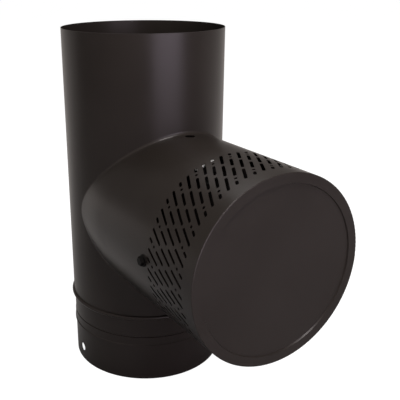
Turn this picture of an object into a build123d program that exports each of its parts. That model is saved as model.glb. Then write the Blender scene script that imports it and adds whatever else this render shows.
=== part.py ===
from build123d import *
from math import cos, degrees, radians, sin, tan
import os

# A double-wall stove pipe tee with a capped branch, standing on its lower end.
# The origin is the middle of the lower end, Z runs up the flue and the branch points along -Y.
# "Reach" is the distance from the flue's axis along the branch.
# An angle round the branch is 0 at its top and grows towards -X.

# Driving sizes, in millimetres and degrees
flue_bore = 152.4
liner_wall = 0.5
air_space = 9.9
casing_wall = 0.7
run_above_branch = 99.9
run_below_branch = 26.9
branch_extra_radius = 2.1
plain_branch_run = 81.2
branch_rim_run = 15.1

# Lower end of the casing: a bead, and the spigot that enters the next pipe up to its stop
bead_radius = 2.3
bead_lip = 0.4
spigot_length = 75.0
spigot_ease = 0.1
collar_below_branch = 2.9
stop_height = 40.5
stop_width = 3.2
stop_stand = 1.0
stop_slope = 0.6
band_width = 12.2
band_stand = 0.4
groove_depth = 0.5
groove_half_width = 0.5
screw_hole_diameter = 9.6
screw_hole_height = 15.4
screw_hole_count = 3
first_screw_hole_angle = 180.0

# Root of the branch sleeve
root_fillet = 3.2
root_narrowing = 1.5
round_from = 65.0
root_section_reaches = (0, 22.75, 45.5, 65.0, 84.5)
top_hole_diameter = 10.0
top_hole_run = 8.8

# Slot band: lines of long slots and of broken slots, in turn, that lean round the branch
slot_width = 3.0
slot_slant = 30.0
slot_line_pairs = 30
first_line_angle = 7.2
long_slot = 20.0
long_slot_spacing = 20.1
middle_slot = 16.2
middle_slot_offset = 8.9
dot_offset = 20.2
short_slot = 6.6
short_slot_offset = 26.8

# End cap, and the plug on its back
cap_wall = 0.8
cap_edge_radius = 0.7
cap_recess = 1.4
cap_recess_slope = 0.6
cap_ring_width = 9.2
cap_lip = 6.0
cap_lip_ease = 0.15
plug_ease = 0.3
plug_depth = 46.0
plug_flange = 3.0

# Liner, with a socket at its top and a spigot at its bottom
liner_top_setback = 22.0
liner_bottom_setback = 2.0
liner_joint_length = 35.0
liner_joint_step = 0.8
liner_joint_taper = 5.0
branch_liner_step = 0.8
branch_liner_setback = 2.5

# Spacers that hold the liner in the middle of the casing
spacer_wall = 0.6
spacer_arc = 13.0
spacer_foot = 7.0
spacer_web_run = 4.0
spacer_crest = 14.0
spacer_ease = 0.05
spacer_margin = 3.0
flue_spacer_count = 3
first_flue_spacer_angle = 90.0
branch_spacer_pair_angles = (90.0, 20.0)
crest_under_slots = 2.5
ring_depth = 6.5
ring_behind_lip = 1.0

# Screws that hold the branch sleeve to its spacers
screw_setback = 7.0
screw_washer_diameter = 11.6
screw_washer_thickness = 1.3
screw_washer_edge = 0.7
screw_hex_across_flats = 8.0
screw_hex_height = 4.2
screw_hex_chamfer = 0.5
screw_shank_diameter = 4.2
screw_shank_length = 8.0
screw_tip_length = 2.0
screw_tip_radius = 0.4
screw_hole_ease = 0.1

# Radii and heights that follow
liner_inner = flue_bore / 2
liner_outer = liner_inner + liner_wall
casing_inner = liner_outer + air_space
casing_outer = casing_inner + casing_wall
collar_outer = casing_inner - spigot_ease
collar_inner = collar_outer - casing_wall
sleeve_outer = casing_outer + branch_extra_radius
sleeve_inner = sleeve_outer - casing_wall
branch_liner_outer = liner_outer - branch_liner_step
branch_liner_inner = branch_liner_outer - liner_wall
branch_height = spigot_length + run_below_branch + sleeve_outer
total_height = branch_height + sleeve_outer + run_above_branch
collar_top = branch_height - sleeve_outer - collar_below_branch
liner_bottom = liner_bottom_setback
liner_top = total_height - liner_top_setback

# Reaches that follow
short_slot_end = (short_slot - slot_width) / 2 * cos(radians(slot_slant)) + slot_width / 2
band_half_width = short_slot_offset + short_slot_end
band_start = casing_outer + plain_branch_run
band_middle = band_start + band_half_width
branch_reach = band_middle + band_half_width + branch_rim_run
sleeve_rim = branch_reach - cap_wall
screw_reach = band_start - screw_setback
cap_panel_radius = sleeve_outer - cap_ring_width
cap_lip_outer = sleeve_inner - cap_lip_ease
cap_back = branch_reach - cap_recess - cap_wall
plug_inner = branch_liner_inner - plug_ease - liner_wall

branch_axis = Axis((0, 0, branch_height), (0, -1, 0))


def along_branch(angle):
    """A plane through the branch's axis: X is the reach and Y the radius at that angle."""
    turn = radians(angle)
    return Plane(origin=(0, 0, branch_height), x_dir=(0, -1, 0), z_dir=(-cos(turn), 0, -sin(turn)))


def on_branch(reach, angle, radius):
    """A plane that lies on the branch, with X along it and Z outwards."""
    turn = radians(angle)
    outwards = Vector(-sin(turn), 0, cos(turn))
    middle = Vector(0, -reach, branch_height)
    return Plane(origin=middle + outwards * radius, x_dir=(0, -1, 0), z_dir=outwards)


def along_flue(angle):
    """A plane through the flue's axis: X is the radius at that angle and Y the height."""
    turn = radians(angle)
    return Plane(origin=(0, 0, 0), x_dir=(cos(turn), sin(turn), 0), z_dir=(sin(turn), -cos(turn), 0))


def on_flue(height, angle, radius):
    """A plane that lies on the flue, with X up it and Z outwards."""
    turn = radians(angle)
    outwards = Vector(cos(turn), sin(turn), 0)
    return Plane(origin=Vector(0, 0, height) + outwards * radius, x_dir=(0, 0, 1), z_dir=outwards)


def angles_round(first, count):
    """Evenly spaced angles."""
    return [first + step * 360 / count for step in range(count)]


def branch_form(inset):
    """The branch as a solid bar, whose root is drawn in to the width of the casing."""
    root_half_width = casing_outer - root_narrowing
    last_section = root_section_reaches[-1]
    with BuildPart() as form:
        for reach in root_section_reaches:
            share = min(1, reach / round_from)
            swell = share * share * (3 - 2 * share)
            half_width = root_half_width + (sleeve_outer - root_half_width) * swell
            with BuildSketch(Plane.XZ.offset(reach)):
                with Locations((0, branch_height)):
                    Ellipse(half_width - inset, sleeve_outer - inset)
        loft()
        with BuildSketch(Plane.XZ.offset(last_section)):
            with Locations((0, branch_height)):
                Circle(sleeve_outer - inset)
        extrude(amount=sleeve_rim - last_section)
    return form.part


branch_outside = branch_form(0)
branch_inside = branch_form(casing_wall)

# Casing tube: a rolled sheet with a bead round its lower edge
with BuildPart() as casing_tube:
    bead_start = spigot_length + bead_lip
    bead_end = bead_start + 2 * bead_radius
    with BuildSketch(Plane.XZ):
        with BuildLine():
            Line((casing_outer, spigot_length), (casing_outer, bead_start))
            ThreePointArc(
                (casing_outer, bead_start),
                (casing_outer + bead_radius, bead_start + bead_radius),
                (casing_outer, bead_end),
            )
            Line((casing_outer, bead_end), (casing_outer, total_height))
            offset(amount=casing_wall, side=Side.LEFT)
        make_face()
    revolve(axis=Axis.Z)
    add(branch_inside, mode=Mode.SUBTRACT)
casing_tube.part.label = "casing_tube"

# Spigot collar: welded inside the casing's lower end, with a stop bead under a raised band
with BuildPart() as spigot_collar:
    stop_top = stop_height + stop_width
    band_top = stop_height + band_width
    with BuildSketch(Plane.XZ):
        with BuildLine():
            Polyline(
                (collar_outer, 0),
                (collar_outer, stop_height),
                (collar_outer + stop_stand, stop_height + stop_slope),
                (collar_outer + stop_stand, stop_top - stop_slope),
                (collar_outer + band_stand, stop_top),
                (collar_outer + band_stand, band_top),
                (collar_outer - groove_depth, band_top + groove_half_width),
                (collar_outer, band_top + 2 * groove_half_width),
                (collar_outer, collar_top),
            )
            offset(amount=casing_wall, side=Side.LEFT, kind=Kind.INTERSECTION)
        make_face()
    revolve(axis=Axis.Z)
    hole_angles = angles_round(first_screw_hole_angle, screw_hole_count)
    with BuildSketch(*[on_flue(screw_hole_height, angle, collar_outer) for angle in hole_angles]):
        Circle(screw_hole_diameter / 2)
    extrude(amount=2 * casing_wall, both=True, mode=Mode.SUBTRACT)
spigot_collar.part.label = "spigot_collar"

# Branch sleeve: a slotted tube, cut to fit the casing, with a small fillet round its root
screwed_angles, unscrewed_angles = [angles_round(first, 2) for first in branch_spacer_pair_angles]
broken_line_angle = first_line_angle + 180 / slot_line_pairs
slot_rows = [(side * long_slot_spacing, long_slot, first_line_angle) for side in (-1, 0, 1)]
for side in (-1, 1):
    slot_rows.append((side * middle_slot_offset, middle_slot, broken_line_angle))
    slot_rows.append((side * dot_offset, slot_width, broken_line_angle))
    slot_rows.append((side * short_slot_offset, short_slot, broken_line_angle))

with BuildPart() as branch_sleeve:
    Cylinder(casing_outer, total_height, align=(Align.CENTER, Align.CENTER, Align.MIN))
    add(branch_outside)
    root_edges = branch_sleeve.edges().filter_by(GeomType.BSPLINE).filter_by_position(
        Axis.Y, -casing_outer - casing_wall, -casing_wall
    )
    fillet(root_edges, root_fillet)
    Cylinder(
        casing_outer,
        total_height,
        align=(Align.CENTER, Align.CENTER, Align.MIN),
        mode=Mode.SUBTRACT,
    )
    add(branch_inside, mode=Mode.SUBTRACT)
    with BuildSketch(on_branch(casing_outer + top_hole_run, 0, sleeve_outer)):
        Circle(top_hole_diameter / 2)
    extrude(amount=2 * casing_wall, both=True, mode=Mode.SUBTRACT)
    with BuildSketch(*[on_branch(screw_reach, angle, sleeve_outer) for angle in screwed_angles]):
        Circle(screw_shank_diameter / 2 + screw_hole_ease)
    extrude(amount=2 * casing_wall, both=True, mode=Mode.SUBTRACT)
    for place, length, start_angle in slot_rows:
        lean = degrees(place * tan(radians(slot_slant)) / sleeve_outer)
        row_angles = angles_round(start_angle + lean, slot_line_pairs)
        above = sleeve_outer + casing_wall
        with BuildSketch(*[on_branch(band_middle + place, angle, above) for angle in row_angles]):
            if length > slot_width:
                SlotOverall(length, slot_width, rotation=-slot_slant)
            else:
                Circle(slot_width / 2)
    extrude(amount=-3 * casing_wall, mode=Mode.SUBTRACT)
branch_sleeve.part.label = "branch_sleeve"

# End cap: a pressed disc with a sunk middle, its edge folded over and into the sleeve's end
with BuildPart() as end_cap:
    with BuildSketch(along_branch(0)):
        with BuildLine():
            Polyline(
                (branch_reach - cap_recess, 0),
                (branch_reach - cap_recess, cap_panel_radius - cap_recess_slope),
                (branch_reach, cap_panel_radius),
                (branch_reach, cap_lip_outer),
                (sleeve_rim - cap_lip, cap_lip_outer),
            )
            offset(amount=cap_wall, side=Side.LEFT, kind=Kind.INTERSECTION)
        make_face()
        with Locations((sleeve_rim, cap_lip_outer)):
            Rectangle(cap_wall, sleeve_outer - cap_lip_outer, align=(Align.MIN, Align.MIN))
    revolve(axis=branch_axis)
    front_edge = end_cap.edges().filter_by(GeomType.CIRCLE).group_by(Axis.Y)[0].sort_by(SortBy.RADIUS)[-1]
    fillet(front_edge, cap_edge_radius)
end_cap.part.label = "end_cap"

# Cap plug: a pan on the back of the cap that closes the branch's liner
with BuildPart() as cap_plug:
    with BuildSketch(along_branch(0)):
        with BuildLine():
            Polyline(
                (cap_back, plug_inner + liner_wall + plug_flange),
                (cap_back, plug_inner),
                (cap_back - plug_depth, plug_inner),
                (cap_back - plug_depth, 0),
            )
            offset(amount=liner_wall, side=Side.RIGHT, kind=Kind.INTERSECTION)
        make_face()
    revolve(axis=branch_axis)
cap_plug.part.label = "cap_plug"

# Liner tube: the flue itself, narrowed at its bottom to enter the next liner's widened top
with BuildPart() as liner_tube:
    lower_joint = liner_bottom + liner_joint_length
    upper_joint = liner_top - liner_joint_length
    with BuildSketch(Plane.XZ):
        with BuildLine():
            Polyline(
                (liner_outer - liner_joint_step, liner_bottom),
                (liner_outer - liner_joint_step, lower_joint),
                (liner_outer, lower_joint + liner_joint_taper),
                (liner_outer, upper_joint - liner_joint_taper),
                (liner_outer + liner_joint_step, upper_joint),
                (liner_outer + liner_joint_step, liner_top),
            )
            offset(amount=liner_wall, side=Side.LEFT, kind=Kind.INTERSECTION)
        make_face()
    revolve(axis=Axis.Z)
    with BuildSketch(Plane.XZ):
        with Locations((0, branch_height)):
            Circle(branch_liner_inner)
    extrude(amount=liner_outer + liner_wall, mode=Mode.SUBTRACT)
liner_tube.part.label = "liner_tube"

# Branch liner: a plain tube, cut to fit the liner tube
with BuildPart() as branch_liner:
    with BuildSketch(Plane.XZ):
        with Locations((0, branch_height)):
            Circle(branch_liner_outer)
            Circle(branch_liner_inner, mode=Mode.SUBTRACT)
    extrude(amount=cap_back - branch_liner_setback)
    Cylinder(
        liner_outer,
        total_height,
        align=(Align.CENTER, Align.CENTER, Align.MIN),
        mode=Mode.SUBTRACT,
    )
branch_liner.part.label = "branch_liner"

# Branch end ring: a channel that closes the air space behind the cap
with BuildPart() as branch_end_ring:
    ring_front = sleeve_rim - cap_lip - ring_behind_lip
    ring_inner = branch_liner_outer + spacer_ease
    ring_outer = sleeve_inner - spacer_ease
    with BuildSketch(along_branch(0)):
        with BuildLine():
            Polyline(
                (ring_front, ring_inner),
                (ring_front - ring_depth, ring_inner),
                (ring_front - ring_depth, ring_outer),
                (ring_front, ring_outer),
            )
            offset(amount=spacer_wall, side=Side.RIGHT, kind=Kind.INTERSECTION)
        make_face()
    revolve(axis=branch_axis)
branch_end_ring.part.label = "branch_end_ring"


def hat_line(start, foot_radius, crest_radius):
    """The bends of a hat-shaped strip, as (place, radius) from one foot to the other."""
    low = foot_radius + spacer_ease
    high = crest_radius - spacer_ease - spacer_wall
    steps = (
        (spacer_foot, low),
        (spacer_web_run, high),
        (spacer_crest, high),
        (spacer_web_run, low),
        (spacer_foot, low),
    )
    bends = [(start, low)]
    for length, radius in steps:
        bends.append((bends[-1][0] + length, radius))
    return bends


def flue_spacer(start, outer_radius, angle):
    """A spacer between the liner tube and what surrounds it."""
    bends = hat_line(start, liner_outer, outer_radius)
    with BuildPart() as spacer:
        with BuildSketch(along_flue(angle - spacer_arc / 2)):
            with BuildLine():
                Polyline(*[(radius, place) for place, radius in bends])
                offset(amount=spacer_wall, side=Side.RIGHT, kind=Kind.INTERSECTION)
            make_face()
        revolve(axis=Axis.Z, revolution_arc=spacer_arc)
    return spacer.part


def branch_spacer(start, angle, screwed):
    """A spacer between the branch's liner and sleeve, with a hole if a screw holds it."""
    bends = hat_line(start, branch_liner_outer, sleeve_inner)
    with BuildPart() as spacer:
        with BuildSketch(along_branch(angle - spacer_arc / 2)):
            with BuildLine():
                Polyline(*bends)
                offset(amount=spacer_wall, side=Side.LEFT, kind=Kind.INTERSECTION)
            make_face()
        revolve(axis=branch_axis, revolution_arc=spacer_arc)
        if screwed:
            with BuildSketch(on_branch(screw_reach, angle, sleeve_inner)):
                Circle(screw_shank_diameter / 2 + screw_hole_ease)
            extrude(amount=2 * spacer_wall, both=True, mode=Mode.SUBTRACT)
    return spacer.part


def branch_screw(angle):
    """A self-tapping screw through the sleeve: washer head, hexagon, plain shank and point."""
    shank_radius = screw_shank_diameter / 2
    washer_radius = screw_washer_diameter / 2
    shank_end = sleeve_outer - screw_shank_length
    head_top = sleeve_outer + screw_washer_thickness
    with BuildPart() as screw:
        with BuildSketch(along_branch(angle)):
            with BuildLine():
                Polyline(
                    (screw_reach, shank_end),
                    (screw_reach + screw_tip_radius, shank_end),
                    (screw_reach + shank_radius, shank_end + screw_tip_length),
                    (screw_reach + shank_radius, sleeve_outer),
                    (screw_reach + washer_radius, sleeve_outer),
                    (screw_reach + washer_radius, sleeve_outer + screw_washer_edge),
                    (screw_reach + screw_hex_across_flats / 2, head_top),
                    (screw_reach, head_top),
                    close=True,
                )
            make_face()
        outwards = on_branch(screw_reach, angle, head_top)
        revolve(axis=Axis(outwards.origin, outwards.z_dir))
        with BuildSketch(outwards):
            RegularPolygon(screw_hex_across_flats / 2, 6, major_radius=False)
        hexagon = extrude(amount=screw_hex_height - screw_washer_thickness)
        head_face = hexagon.faces().sort_by(Axis(outwards.origin, outwards.z_dir))[-1]
        chamfer(head_face.edges(), screw_hex_chamfer)
    return screw.part


pieces = [
    casing_tube.part,
    spigot_collar.part,
    branch_sleeve.part,
    end_cap.part,
    cap_plug.part,
    liner_tube.part,
    branch_liner.part,
    branch_end_ring.part,
]
spacer_length = 2 * (spacer_foot + spacer_web_run) + spacer_crest
upper_spacer_start = liner_top - liner_joint_length - liner_joint_taper - spacer_margin - spacer_length
lower_spacer_start = liner_bottom + liner_joint_length + liner_joint_taper + spacer_margin
for number, angle in enumerate(angles_round(first_flue_spacer_angle, flue_spacer_count), start=1):
    upper_spacer = flue_spacer(upper_spacer_start, casing_inner, angle)
    upper_spacer.label = f"upper_spacer_{number}"
    lower_spacer = flue_spacer(lower_spacer_start, collar_inner, angle)
    lower_spacer.label = f"lower_spacer_{number}"
    pieces += [upper_spacer, lower_spacer]
screwed_start = screw_reach - spacer_length / 2
unscrewed_start = band_start + crest_under_slots - spacer_crest - spacer_web_run - spacer_foot
for number, angle in enumerate(screwed_angles + unscrewed_angles, start=1):
    screwed = angle in screwed_angles
    spacer = branch_spacer(screwed_start if screwed else unscrewed_start, angle, screwed)
    spacer.label = f"branch_spacer_{number}"
    pieces.append(spacer)
for number, angle in enumerate(screwed_angles, start=1):
    screw = branch_screw(angle)
    screw.label = f"branch_screw_{number}"
    pieces.append(screw)

os.makedirs("parts", exist_ok=True)
for piece in pieces:
    export_step(piece, f"parts/{piece.label}.step")
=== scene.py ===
from math import radians

import bpy
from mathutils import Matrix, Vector

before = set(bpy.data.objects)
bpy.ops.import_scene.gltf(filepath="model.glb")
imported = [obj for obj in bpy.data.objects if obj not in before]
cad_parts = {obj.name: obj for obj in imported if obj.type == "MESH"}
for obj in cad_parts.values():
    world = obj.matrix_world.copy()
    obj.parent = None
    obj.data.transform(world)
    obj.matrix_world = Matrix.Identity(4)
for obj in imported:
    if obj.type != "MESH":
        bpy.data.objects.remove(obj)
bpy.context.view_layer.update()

# Camera, fitted to the photograph
camera_place = (-0.34075, -0.64112, 0.43858)
camera_pitch = 19.430
camera_yaw = 29.974
camera_roll = 0.188
camera_lens = 59.427
camera_sensor = 36.0
camera_shift = (0.08376, 0.00306)
camera_clip = (0.01, 100.0)

# The branch's axis, and the radii round it between which a spacer's painted shade gives way
# to its bright crest
branch_axis_point = (0.0, 0.0, 0.1913)
across_branch = (1.0, 0.0, 1.0)
crest_radii = (0.08705, 0.08805)

# Light that falls on the object from the whole room
white = (1.0, 1.0, 1.0)
world_light = 0.05

# The room as the camera sees it
wall_to_camera = 1.0
floor_to_camera = 1.17
floor_reach = 15.0
floor_colour = (0.86, 0.86, 0.86, 1.0)
floor_glow_share = 0.85

# The room as the object reflects it: its tint, its axis, where on it the wall and the floor are
# near and far, and their strength at each
tint_in_gloss = (1.0, 0.92, 0.87)
room_axis = (0.60, 0.80, 0.0)
wall_span = (-0.3, 0.3)
wall_in_gloss = (0.7, 0.20)
floor_span = (-0.15, 0.65)
floor_in_gloss = (0.16, 0.80)

# Painted shadow in the floor's reflection: the share of it that is left close in front of the
# object, and further off
shade_centre = (0.0, -0.14, 0.0)
shade_span = (0.14, 0.27)
shade_share = (0.20, 1.0)

# Lamps: name, place, target, width and height, power, colour
front_colour = (1.0, 0.93, 1.10)
lamps = [
    ("front", (0.12, -1.66, 0.44), (0.0, 0.0, 0.26), (1.20, 0.75), 15.2, front_colour),
    ("front_high", (0.30, -1.9, 1.2), (0.0, 0.0, 0.28), (0.5, 0.8), 4.0, front_colour),
    ("overhead_back", (0.2, 0.7, 2.1), (0.0, -0.08, 0.20), (1.3, 1.3), 28.0, white),
    ("overhead_front", (-0.25, -0.8, 2.2), (0.0, -0.08, 0.20), (0.75, 0.6), 42.0, white),
]

# Spans: the middle of a noise, taken wide or narrow, and a whole blend
wide = (0.3, 0.7)
narrow = (0.35, 0.65)
whole = (0.0, 1.0)


def point_camera():
    data = bpy.data.cameras.new("camera")
    data.sensor_width = camera_sensor
    data.lens = camera_lens
    data.shift_x, data.shift_y = camera_shift
    data.clip_start, data.clip_end = camera_clip
    camera = bpy.data.objects.new("camera", data)
    camera.location = camera_place
    camera.rotation_euler = (radians(90 - camera_pitch), radians(camera_roll), radians(-camera_yaw))
    bpy.context.collection.objects.link(camera)
    bpy.context.scene.camera = camera


def area_lamp(name, place, target, size, power, colour):
    data = bpy.data.lights.new(name, "AREA")
    data.shape = "RECTANGLE"
    data.size, data.size_y = size
    data.energy = power
    data.color = colour
    lamp = bpy.data.objects.new(name, data)
    lamp.location = place
    direction = Vector(target) - Vector(place)
    lamp.rotation_euler = direction.to_track_quat("-Z", "Y").to_euler()
    bpy.context.collection.objects.link(lamp)


def new_tree(owner):
    owner.use_nodes = True
    tree = owner.node_tree
    tree.nodes.clear()
    return tree


def node(tree, kind, **values):
    made = tree.nodes.new(kind)
    for name, value in values.items():
        setattr(made, name, value)
    return made


def ranged(tree, value, span, result):
    """The value, taken from one range to another and held at its ends."""
    made = node(tree, "ShaderNodeMapRange")
    made.inputs["From Min"].default_value, made.inputs["From Max"].default_value = span
    made.inputs["To Min"].default_value, made.inputs["To Max"].default_value = result
    tree.links.new(value, made.inputs["Value"])
    return made.outputs["Result"]


def blended(tree, factor, first, second):
    made = node(tree, "ShaderNodeMixRGB")
    made.inputs["Color1"].default_value = (*first, 1.0)
    made.inputs["Color2"].default_value = (*second, 1.0)
    tree.links.new(factor, made.inputs["Fac"])
    return made.outputs["Color"]


def mixed(tree, factor, first, second):
    """The second shader where the factor is 1, the first where it is 0."""
    mix = node(tree, "ShaderNodeMixShader")
    tree.links.new(factor, mix.inputs["Fac"])
    tree.links.new(first.outputs[0], mix.inputs[1])
    tree.links.new(second.outputs[0], mix.inputs[2])
    return mix


def seen_by_eye_or_gloss(tree):
    """1 for rays that show the background to the camera, in a reflection or through glass."""
    path = node(tree, "ShaderNodeLightPath")
    either = node(tree, "ShaderNodeMath", operation="MAXIMUM")
    any_ray = node(tree, "ShaderNodeMath", operation="MAXIMUM")
    tree.links.new(path.outputs["Is Camera Ray"], either.inputs[0])
    tree.links.new(path.outputs["Is Glossy Ray"], either.inputs[1])
    tree.links.new(either.outputs[0], any_ray.inputs[0])
    tree.links.new(path.outputs["Is Transmission Ray"], any_ray.inputs[1])
    return any_ray.outputs[0]


def along_room(tree, vector):
    """How far a place or a direction lies towards the far end of the room."""
    along = node(tree, "ShaderNodeVectorMath", operation="DOT_PRODUCT")
    along.inputs[1].default_value = room_axis
    tree.links.new(vector, along.inputs[0])
    return along.outputs["Value"]


def make_glow(tree, shader, to_camera, in_gloss):
    """Plain white for camera rays, and tinted, with a strength of its own, for the rest."""
    camera_ray = node(tree, "ShaderNodeLightPath").outputs["Is Camera Ray"]
    strength = node(tree, "ShaderNodeMapRange")
    strength.inputs["To Max"].default_value = to_camera
    tree.links.new(in_gloss, strength.inputs["To Min"])
    tree.links.new(camera_ray, strength.inputs["Value"])
    tree.links.new(strength.outputs["Result"], shader.inputs["Strength"])
    tree.links.new(blended(tree, camera_ray, tint_in_gloss, white), shader.inputs["Color"])


def light_world():
    world = bpy.data.worlds.new("studio")
    bpy.context.scene.world = world
    tree = new_tree(world)
    direction = node(tree, "ShaderNodeTexCoord").outputs["Generated"]
    in_gloss = ranged(tree, along_room(tree, direction), wall_span, wall_in_gloss)
    seen = node(tree, "ShaderNodeBackground")
    make_glow(tree, seen, wall_to_camera, in_gloss)
    light = node(tree, "ShaderNodeBackground")
    light.inputs["Color"].default_value = (*white, 1.0)
    light.inputs["Strength"].default_value = world_light
    mix = mixed(tree, seen_by_eye_or_gloss(tree), light, seen)
    out = node(tree, "ShaderNodeOutputWorld")
    tree.links.new(mix.outputs[0], out.inputs["Surface"])


def floor_paint():
    """Plain pale paint that takes the shadow, and that glows to the camera and in a reflection,
    where a painted shadow dims the glow close in front of the object.
    """
    material = bpy.data.materials.new("floor_white")
    tree = new_tree(material)
    place = node(tree, "ShaderNodeNewGeometry").outputs["Position"]
    distance = node(tree, "ShaderNodeVectorMath", operation="DISTANCE")
    distance.inputs[1].default_value = shade_centre
    tree.links.new(place, distance.inputs[0])
    in_gloss = node(tree, "ShaderNodeMath", operation="MULTIPLY")
    lit = ranged(tree, along_room(tree, place), floor_span, floor_in_gloss)
    # Painted shadow: the floor's glow in reflections dims close in front of the object
    shade = ranged(tree, distance.outputs["Value"], shade_span, shade_share)
    tree.links.new(lit, in_gloss.inputs[0])
    tree.links.new(shade, in_gloss.inputs[1])
    glow = node(tree, "ShaderNodeEmission")
    make_glow(tree, glow, floor_to_camera, in_gloss.outputs["Value"])
    paint = node(tree, "ShaderNodeBsdfDiffuse")
    paint.inputs["Color"].default_value = floor_colour
    share = node(tree, "ShaderNodeValue").outputs[0]
    share.default_value = floor_glow_share
    lifted = mixed(tree, share, paint, glow)
    chosen = mixed(tree, seen_by_eye_or_gloss(tree), paint, lifted)
    out = node(tree, "ShaderNodeOutputMaterial")
    tree.links.new(chosen.outputs[0], out.inputs["Surface"])
    return material


def lay_floor():
    far = floor_reach
    corners = [(-far, -far, 0), (far, -far, 0), (far, far, 0), (-far, far, 0)]
    mesh = bpy.data.meshes.new("floor")
    mesh.from_pydata(corners, [], [(0, 1, 2, 3)])
    mesh.materials.append(floor_paint())
    floor = bpy.data.objects.new("floor", mesh)
    bpy.context.collection.objects.link(floor)


def start_material(name):
    """A new material, its empty tree and the place on the object."""
    material = bpy.data.materials.new(name)
    tree = new_tree(material)
    return material, tree, node(tree, "ShaderNodeTexCoord").outputs["Object"]


def noise(tree, vector, scale, detail, roughness):
    made = node(tree, "ShaderNodeTexNoise")
    made.inputs["Scale"].default_value = scale
    made.inputs["Detail"].default_value = detail
    made.inputs["Roughness"].default_value = roughness
    tree.links.new(vector, made.inputs["Vector"])
    return made.outputs["Fac"]


def grained(tree, vector, stretch):
    """Noise drawn out into grain by a different scale on each axis."""
    mapping = node(tree, "ShaderNodeMapping")
    mapping.inputs["Scale"].default_value = stretch
    tree.links.new(vector, mapping.inputs["Vector"])
    return noise(tree, mapping.outputs["Vector"], scale=1.0, detail=4.0, roughness=0.6)


def bumped(tree, height, strength, distance, below=None):
    made = node(tree, "ShaderNodeBump")
    made.inputs["Strength"].default_value = strength
    made.inputs["Distance"].default_value = distance
    tree.links.new(height, made.inputs["Height"])
    if below is not None:
        tree.links.new(below, made.inputs["Normal"])
    return made.outputs["Normal"]


def finish_shader(tree, colour, roughness, normal, constants):
    shader = node(tree, "ShaderNodeBsdfPrincipled")
    out = node(tree, "ShaderNodeOutputMaterial")
    tree.links.new(colour, shader.inputs["Base Color"])
    tree.links.new(roughness, shader.inputs["Roughness"])
    tree.links.new(normal, shader.inputs["Normal"])
    tree.links.new(shader.outputs[0], out.inputs["Surface"])
    for name, value in constants.items():
        shader.inputs[name].default_value = value


def black_paint():
    """Satin-matt stove paint: sprayed, with a fine tooth, on a sheet that isn't quite even."""
    material, tree, place = start_material("stove_paint_black")
    clouds = noise(tree, place, scale=14.0, detail=3.0, roughness=0.5)
    tooth = noise(tree, place, scale=1400.0, detail=3.0, roughness=0.6)
    sheet = noise(tree, place, scale=9.0, detail=1.0, roughness=0.4)
    cloud_span = (0.2, 0.8)
    dark = (0.0140, 0.0109, 0.0090)
    pale = (0.0185, 0.0148, 0.0125)
    colour = blended(tree, ranged(tree, clouds, cloud_span, whole), dark, pale)
    roughness = ranged(tree, clouds, cloud_span, (0.285, 0.325))
    wavy = bumped(tree, sheet, strength=0.25, distance=0.0012)
    normal = bumped(tree, tooth, strength=0.22, distance=0.00012, below=wavy)
    constants = {"Specular IOR Level": 0.2, "Specular Tint": (1.0, 0.93, 0.93, 1.0)}
    finish_shader(tree, colour, roughness, normal, constants)
    return material


def sheet_steel():
    """Rolled stainless sheet, whose fine grain runs round the tube."""
    material, tree, place = start_material("liner_steel")
    grain = grained(tree, place, (25.0, 25.0, 1800.0))
    patches = noise(tree, place, scale=18.0, detail=3.0, roughness=0.5)
    dark = (0.50, 0.49, 0.475)
    pale = (0.58, 0.57, 0.55)
    colour = blended(tree, ranged(tree, patches, narrow, whole), dark, pale)
    roughness = ranged(tree, grain, wide, (0.28, 0.42))
    normal = bumped(tree, grain, strength=0.15, distance=0.0001)
    finish_shader(tree, colour, roughness, normal, {"Metallic": 1.0})
    return material


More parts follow.
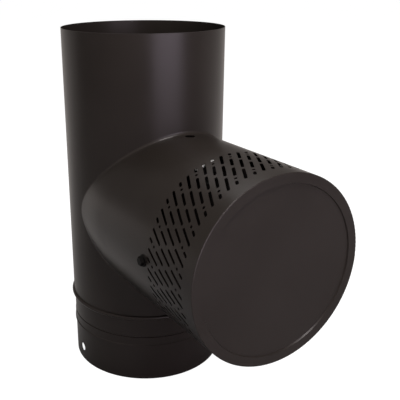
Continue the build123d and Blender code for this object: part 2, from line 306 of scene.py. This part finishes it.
def strip_steel():
    """Bright strip, coloured near black below its crest as painted shade, so that through the slots
    only the crest shows bright.
    """
    material, tree, place = start_material("strip_steel")
    from_axis = node(tree, "ShaderNodeVectorMath", operation="SUBTRACT")
    from_axis.inputs[1].default_value = branch_axis_point
    flat = node(tree, "ShaderNodeVectorMath", operation="MULTIPLY")
    flat.inputs[1].default_value = across_branch
    radius = node(tree, "ShaderNodeVectorMath", operation="LENGTH")
    tree.links.new(place, from_axis.inputs[0])
    tree.links.new(from_axis.outputs["Vector"], flat.inputs[0])
    tree.links.new(flat.outputs["Vector"], radius.inputs[0])
    grain = grained(tree, place, (900.0, 900.0, 25.0))
    # Painted shade: near black below the crest, bare steel at the crest
    painted = (0.016, 0.015, 0.014)
    bare = (0.62, 0.61, 0.59)
    colour = blended(tree, ranged(tree, radius.outputs["Value"], crest_radii, whole), painted, bare)
    roughness = ranged(tree, grain, wide, (0.26, 0.40))
    normal = bumped(tree, grain, strength=0.15, distance=0.0001)
    finish_shader(tree, colour, roughness, normal, {"Metallic": 1.0})
    return material


def shade_behind_slots():
    """Painted shade: a near-black colour on the parts behind the slots, dull and a little patchy,
    standing in for the dark gap behind them.
    """
    material, tree, place = start_material("painted_shade_behind_slots")
    patches = noise(tree, place, scale=22.0, detail=4.0, roughness=0.55)
    grit = noise(tree, place, scale=900.0, detail=3.0, roughness=0.6)
    # Painted shade: both colours are far darker than the paint outside, so the slots look black
    dark = (0.0030, 0.0020, 0.0018)
    pale = (0.0060, 0.0042, 0.0038)
    colour = blended(tree, ranged(tree, patches, narrow, whole), dark, pale)
    roughness = ranged(tree, grit, wide, (0.68, 0.82))
    normal = bumped(tree, grit, strength=0.25, distance=0.00015)
    finish_shader(tree, colour, roughness, normal, {"Specular IOR Level": 0.04})
    return material


def screw_coating():
    """Black phosphate coating, slightly uneven."""
    material, tree, place = start_material("screw_coating_black")
    speckle = noise(tree, place, scale=700.0, detail=3.0, roughness=0.6)
    dark = (0.0022, 0.0018, 0.0016)
    pale = (0.0045, 0.0038, 0.0034)
    colour = blended(tree, ranged(tree, speckle, wide, whole), dark, pale)
    roughness = ranged(tree, speckle, wide, (0.38, 0.55))
    normal = bumped(tree, speckle, strength=0.2, distance=0.0001)
    finish_shader(tree, colour, roughness, normal, {"Specular IOR Level": 0.05})
    return material


def dress():
    """Every node gets its material, and those not named here are bare liner steel."""
    paint = black_paint()
    steel = sheet_steel()
    behind_slots = shade_behind_slots()
    strip = strip_steel()
    coating = screw_coating()
    finishes = {
        "casing_tube": paint,
        "spigot_collar": paint,
        "branch_sleeve": paint,
        "end_cap": paint,
        # Painted shade on the liner and the two screwed spacers, so that the slots look black
        "branch_liner": behind_slots,
        "branch_spacer_1": behind_slots,
        "branch_spacer_2": behind_slots,
        "branch_spacer_3": strip,
        "branch_spacer_4": strip,
        "branch_screw_1": coating,
        "branch_screw_2": coating,
    }
    for name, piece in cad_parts.items():
        for slot in piece.material_slots:
            slot.material = finishes.get(name, steel)


point_camera()
bpy.context.scene.view_settings.view_transform = "Standard"
light_world()
for lamp in lamps:
    area_lamp(*lamp)
lay_floor()
dress()
